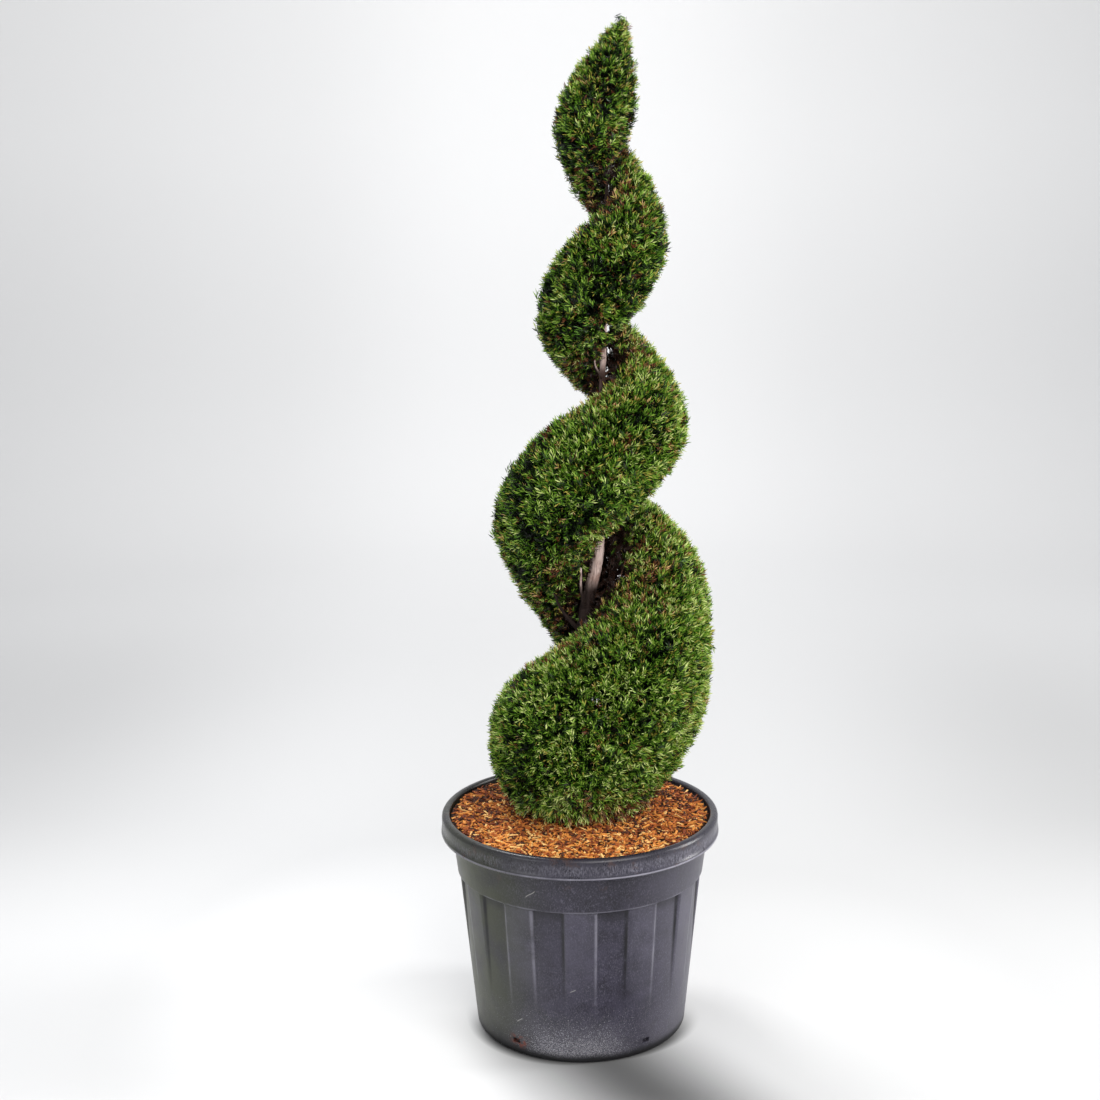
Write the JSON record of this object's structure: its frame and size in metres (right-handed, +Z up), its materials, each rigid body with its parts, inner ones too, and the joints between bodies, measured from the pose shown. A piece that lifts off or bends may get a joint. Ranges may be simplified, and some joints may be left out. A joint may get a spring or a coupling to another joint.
{
  "type": "potted spiral topiary conifer",
  "caption": "Evergreen conifer clipped to a tapering right-handed spiral on an upright trunk, standing in a fluted dark plastic nursery pot topped with bark mulch.",
  "frame": {"origin": "centre of the pot's flat underside", "axes": "+Z up along the trunk, -Y towards the front, where the groove rises from the left side to the right"},
  "size_m": [0.4, 0.4, 1.415],
  "materials": {
    "plastic": "semi-gloss moulded",
    "mulch": "rough chips",
    "bark": "fibrous",
    "foliage": "fine scale leaves"
  },
  "bodies": {
    "root": {"pot": "plastic", "soil": "mulch", "trunk": "bark", "bough_low_left": "bark", "bough_low_front": "bark", "bough_low_back": "bark", "bough_middle_front": "bark", "bough_middle_back": "bark", "foliage_1_back_right": "foliage", "foliage_1_back_left": "foliage", "foliage_1_front_left": "foliage", "foliage_1_front_right": "foliage", "foliage_2_back_right": "foliage", "foliage_2_back_left": "foliage", "foliage_2_front_left": "foliage", "foliage_2_front_right": "foliage", "foliage_3_back_right": "foliage", "foliage_3_back_left": "foliage", "foliage_3_front_left": "foliage", "foliage_3_front_right": "foliage", "foliage_4_back_right": "foliage", "foliage_4_back_left": "foliage", "foliage_4_front_left": "foliage", "foliage_4_front_right": "foliage", "foliage_5_back_right": "foliage", "foliage_tip": "foliage"}
  },
  "joints": []
}
